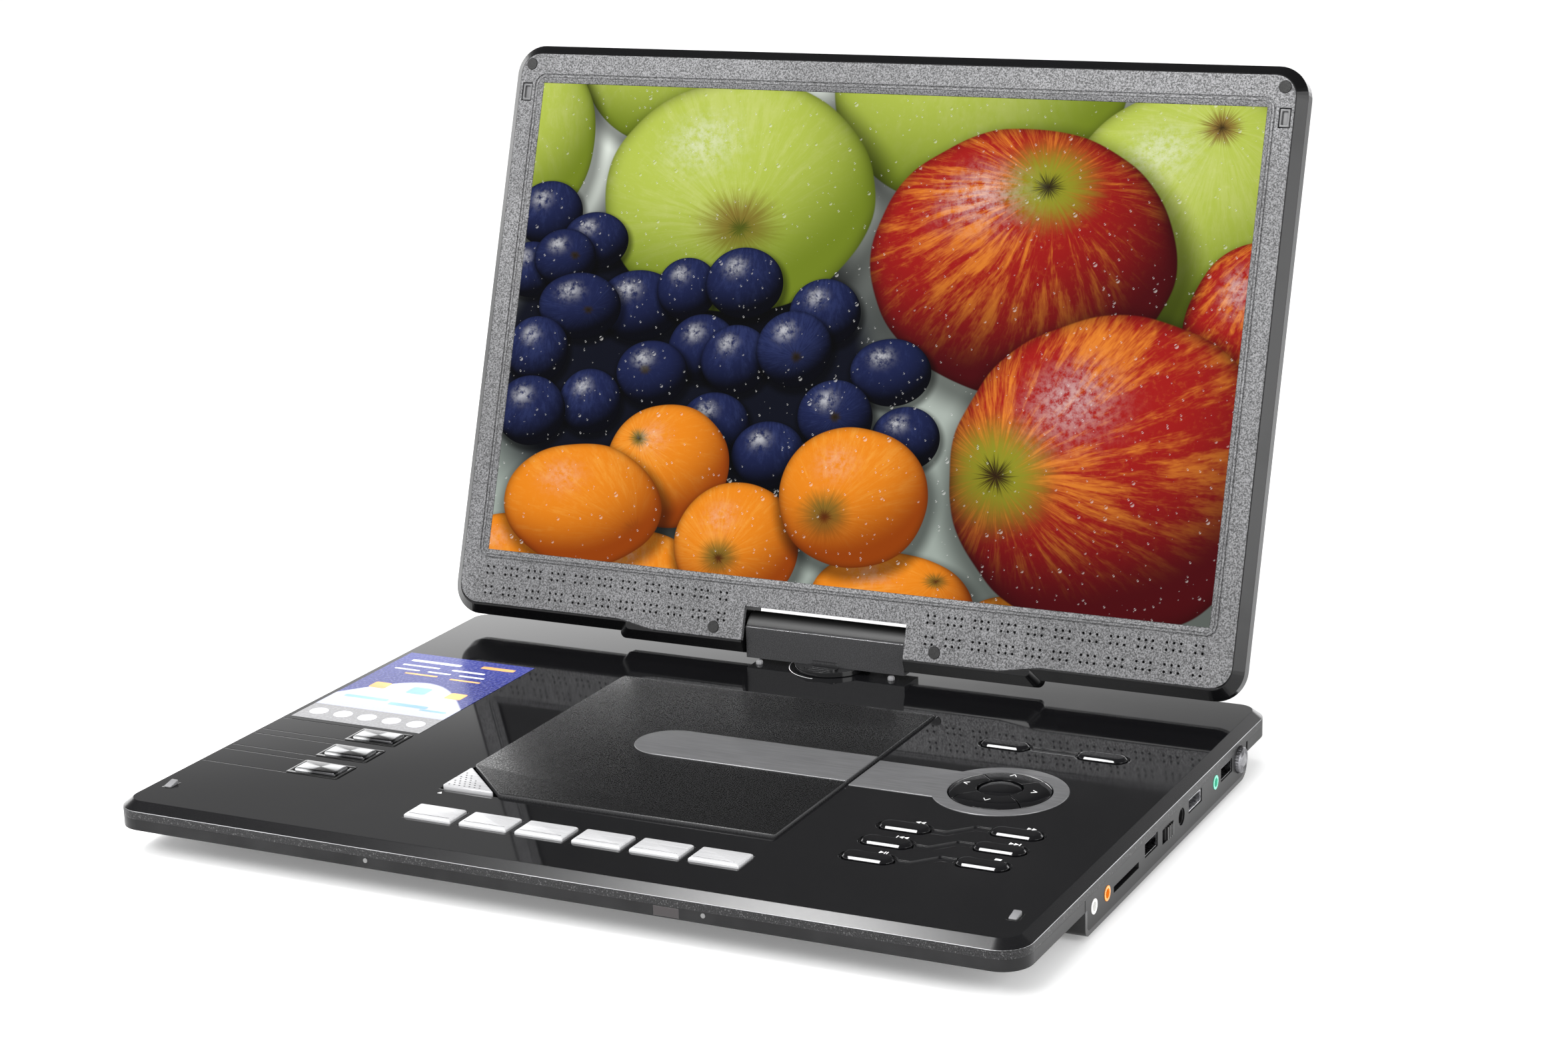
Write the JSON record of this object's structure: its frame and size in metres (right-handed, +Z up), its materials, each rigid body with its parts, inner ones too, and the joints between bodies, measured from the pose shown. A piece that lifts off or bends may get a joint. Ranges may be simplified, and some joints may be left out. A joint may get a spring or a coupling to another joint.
{
  "type": "portable disc player",
  "caption": "Portable disc player with a large widescreen display on a swivel and tilt hinge, a hinged disc bay door, pressable keys and side sockets, shown open.",
  "frame": {"origin": "on the table, under the middle of the deck", "axes": "+X to the right along the deck's front edge, +Y to the rear towards the screen hinge, +Z up"},
  "size_m": [0.3723, 0.3307, 0.2692],
  "materials": {
    "deck_black": "piano black gloss",
    "case_grey": "satin grey",
    "cover_black": "satin black",
    "rubber_black": "matt",
    "screw_steel": "dark zinc",
    "trim_silver": "satin silver",
    "label_grey": "printed film",
    "pan_black": "satin",
    "motor_metal": "plated can",
    "rod_steel": "ground and polished",
    "board_green": "solder mask",
    "socket_steel": "plated sheet",
    "reader_metal": "stamped shield",
    "inlet_black": "moulded",
    "jack_white": "moulded",
    "jack_orange": "moulded",
    "jack_green": "moulded",
    "battery_wrap": "blue film over metal cells",
    "window_red": "dark tinted",
    "light_clear": "clear moulded light guide",
    "pad_black": "piano black gloss",
    "key_silver": "brushed",
    "key_brushed": "circular brushed",
    "key_black": "piano black gloss",
    "door_black": "fine grained",
    "hub_black": "satin",
    "sled_black": "satin",
    "lens_blue": "coated lens",
    "screw_brass": "turned",
    "slider_black": "ribbed",
    "dial_metal": "turned rings",
    "hinge_black": "gloss",
    "hinge_grey": "fine speckled paint",
    "bezel_silver": "speckled silver paint",
    "lid_black": "piano black gloss",
    "panel_glass": "matt screen glass",
    "backlight_white": "light guide in a thin tray",
    "speaker_black": "moulded box"
  },
  "bodies": {
    "base": {"top_deck": "deck_black", "bottom_case": "case_grey", "base_cover": "cover_black", "feet": "rubber_black", "case_screws": "screw_steel", "ring_trim": "trim_silver", "feature_label": "label_grey", "rubber_bumpers": "rubber_black", "disc_well": "pan_black", "drive_motors": "motor_metal", "guide_rods": "rod_steel", "main_board": "board_green", "key_board": "board_green", "metal_sockets": "socket_steel", "card_reader": "reader_metal", "power_inlet": "inlet_black", "white_jack": "jack_white", "orange_jack": "jack_orange", "green_jack": "jack_green", "battery_pack": "battery_wrap", "remote_window": "window_red", "light_pipes": "light_clear"},
    "door": {"disc_door": "door_black", "door_band": "trim_silver"},
    "open_button": {"open_button": "key_silver"},
    "spindle": {"spindle_hub": "hub_black"},
    "pickup": {"pickup_sled": "sled_black", "pickup_lens": "lens_blue"},
    "screw": {"lead_screw": "screw_brass"},
    "power_slider": {"power_slider": "slider_black"},
    "volume_dial": {"volume_dial": "dial_metal"},
    "swivel": {"turntable": "hinge_black", "hinge_block": "hinge_grey", "hinge_barrel": "cover_black", "tilt_pins": "rod_steel"},
    "lid": {"bezel": "bezel_silver", "lid_shell": "lid_black", "lcd_panel": "panel_glass", "lcd_frame": "backlight_white", "speakers": "speaker_black", "screw_pads": "rubber_black"},
    "four_way_pad": {"four_way_pad": "pad_black"},
    "ok_key": {"ok_key": "pad_black"},
    "power_key": {"power_key": "key_brushed"},
    "screen_key": {"screen_key": "key_brushed"},
    "auto_key": {"auto_key": "key_brushed"},
    "front_key_1": {"front_key_1": "key_silver"},
    "front_key_2": {"front_key_2": "key_silver"},
    "front_key_3": {"front_key_3": "key_silver"},
    "front_key_4": {"front_key_4": "key_silver"},
    "front_key_5": {"front_key_5": "key_silver"},
    "front_key_6": {"front_key_6": "key_silver"},
    "setup_key": {"setup_key": "key_black"},
    "source_key": {"source_key": "key_black"},
    "rewind_key": {"rewind_key": "key_black"},
    "forward_key": {"forward_key": "key_black"},
    "previous_key": {"previous_key": "key_black"},
    "next_key": {"next_key": "key_black"},
    "play_key": {"play_key": "key_black"},
    "stop_key": {"stop_key": "key_black"}
  },
  "joints": [
    {"name": "four_way_pad_press", "type": "slide", "parent": "base", "child": "four_way_pad", "axis": [0, 0, -1], "range_m": [0, 0.0006], "stiffness_N_per_m": 800, "springref_m": -0.0004},
    {"name": "ok_key_press", "type": "slide", "parent": "base", "child": "ok_key", "axis": [0, 0, -1], "range_m": [0, 0.0006], "stiffness_N_per_m": 800, "springref_m": -0.0004},
    {"name": "power_key_press", "type": "slide", "parent": "base", "child": "power_key", "axis": [0, 0, -1], "range_m": [0, 0.0006], "stiffness_N_per_m": 800, "springref_m": -0.0004},
    {"name": "screen_key_press", "type": "slide", "parent": "base", "child": "screen_key", "axis": [0, 0, -1], "range_m": [0, 0.0006], "stiffness_N_per_m": 800, "springref_m": -0.0004},
    {"name": "auto_key_press", "type": "slide", "parent": "base", "child": "auto_key", "axis": [0, 0, -1], "range_m": [0, 0.0006], "stiffness_N_per_m": 800, "springref_m": -0.0004},
    {"name": "front_key_1_press", "type": "slide", "parent": "base", "child": "front_key_1", "axis": [0, 0, -1], "range_m": [0, 0.0006], "stiffness_N_per_m": 800, "springref_m": -0.0004},
    {"name": "front_key_2_press", "type": "slide", "parent": "base", "child": "front_key_2", "axis": [0, 0, -1], "range_m": [0, 0.0006], "stiffness_N_per_m": 800, "springref_m": -0.0004},
    {"name": "front_key_3_press", "type": "slide", "parent": "base", "child": "front_key_3", "axis": [0, 0, -1], "range_m": [0, 0.0006], "stiffness_N_per_m": 800, "springref_m": -0.0004},
    {"name": "front_key_4_press", "type": "slide", "parent": "base", "child": "front_key_4", "axis": [0, 0, -1], "range_m": [0, 0.0006], "stiffness_N_per_m": 800, "springref_m": -0.0004},
    {"name": "front_key_5_press", "type": "slide", "parent": "base", "child": "front_key_5", "axis": [0, 0, -1], "range_m": [0, 0.0006], "stiffness_N_per_m": 800, "springref_m": -0.0004},
    {"name": "front_key_6_press", "type": "slide", "parent": "base", "child": "front_key_6", "axis": [0, 0, -1], "range_m": [0, 0.0006], "stiffness_N_per_m": 800, "springref_m": -0.0004},
    {"name": "setup_key_press", "type": "slide", "parent": "base", "child": "setup_key", "axis": [0, 0, -1], "range_m": [0, 0.0006], "stiffness_N_per_m": 800, "springref_m": -0.0004},
    {"name": "source_key_press", "type": "slide", "parent": "base", "child": "source_key", "axis": [0, 0, -1], "range_m": [0, 0.0006], "stiffness_N_per_m": 800, "springref_m": -0.0004},
    {"name": "rewind_key_press", "type": "slide", "parent": "base", "child": "rewind_key", "axis": [0, 0, -1], "range_m": [0, 0.0006], "stiffness_N_per_m": 800, "springref_m": -0.0004},
    {"name": "forward_key_press", "type": "slide", "parent": "base", "child": "forward_key", "axis": [0, 0, -1], "range_m": [0, 0.0006], "stiffness_N_per_m": 800, "springref_m": -0.0004},
    {"name": "previous_key_press", "type": "slide", "parent": "base", "child": "previous_key", "axis": [0, 0, -1], "range_m": [0, 0.0006], "stiffness_N_per_m": 800, "springref_m": -0.0004},
    {"name": "next_key_press", "type": "slide", "parent": "base", "child": "next_key", "axis": [0, 0, -1], "range_m": [0, 0.0006], "stiffness_N_per_m": 800, "springref_m": -0.0004},
    {"name": "play_key_press", "type": "slide", "parent": "base", "child": "play_key", "axis": [0, 0, -1], "range_m": [0, 0.0006], "stiffness_N_per_m": 800, "springref_m": -0.0004},
    {"name": "stop_key_press", "type": "slide", "parent": "base", "child": "stop_key", "axis": [0, 0, -1], "range_m": [0, 0.0006], "stiffness_N_per_m": 800, "springref_m": -0.0004},
    {"name": "open_button_press", "type": "slide", "parent": "base", "child": "open_button", "axis": [0, 0, -1], "range_m": [0, 0.001], "stiffness_N_per_m": 800, "springref_m": -0.0004},
    {"name": "door_hinge", "type": "hinge", "parent": "base", "child": "door", "pos_m": [-0.004, 0.0675, 0.0206], "axis": [-1, 0, 0], "range_deg": [0, 70]},
    {"name": "spindle_spin", "type": "hinge", "parent": "base", "child": "spindle", "pos_m": [-0.004, -0.002, 0.0172], "axis": [0, 0, 1], "continuous": true},
    {"name": "screw_turn", "type": "hinge", "parent": "base", "child": "screw", "pos_m": [0.028, -0.002, 0.0092], "axis": [0, 1, 0], "range_deg": [0, 3485]},
    {"name": "pickup_travel", "type": "slide", "parent": "base", "child": "pickup", "axis": [0, -1, 0], "range_m": [0, 0.029]},
    {"name": "power_slide", "type": "slide", "parent": "base", "child": "power_slider", "axis": [0, -1, 0], "range_m": [0, 0.0036]},
    {"name": "volume_turn", "type": "hinge", "parent": "base", "child": "volume_dial", "pos_m": [0.185, 0.0942, 0.0116], "axis": [1, 0, 0], "range_deg": [-140, 140]},
    {"name": "swivel_turn", "type": "hinge", "parent": "base", "child": "swivel", "pos_m": [0, 0.1145, 0.0222], "axis": [0, 0, 1], "range_deg": [-180, 0]},
    {"name": "screen_tilt", "type": "hinge", "parent": "swivel", "child": "lid", "pos_m": [0, 0.1145, 0.0352], "axis": [-1, 0, 0], "range_deg": [-109, 71]}
  ],
  "couplings": [
    {"joint": "screw_turn", "follows": "pickup_travel", "rad_per_m": 2094.4}
  ]
}
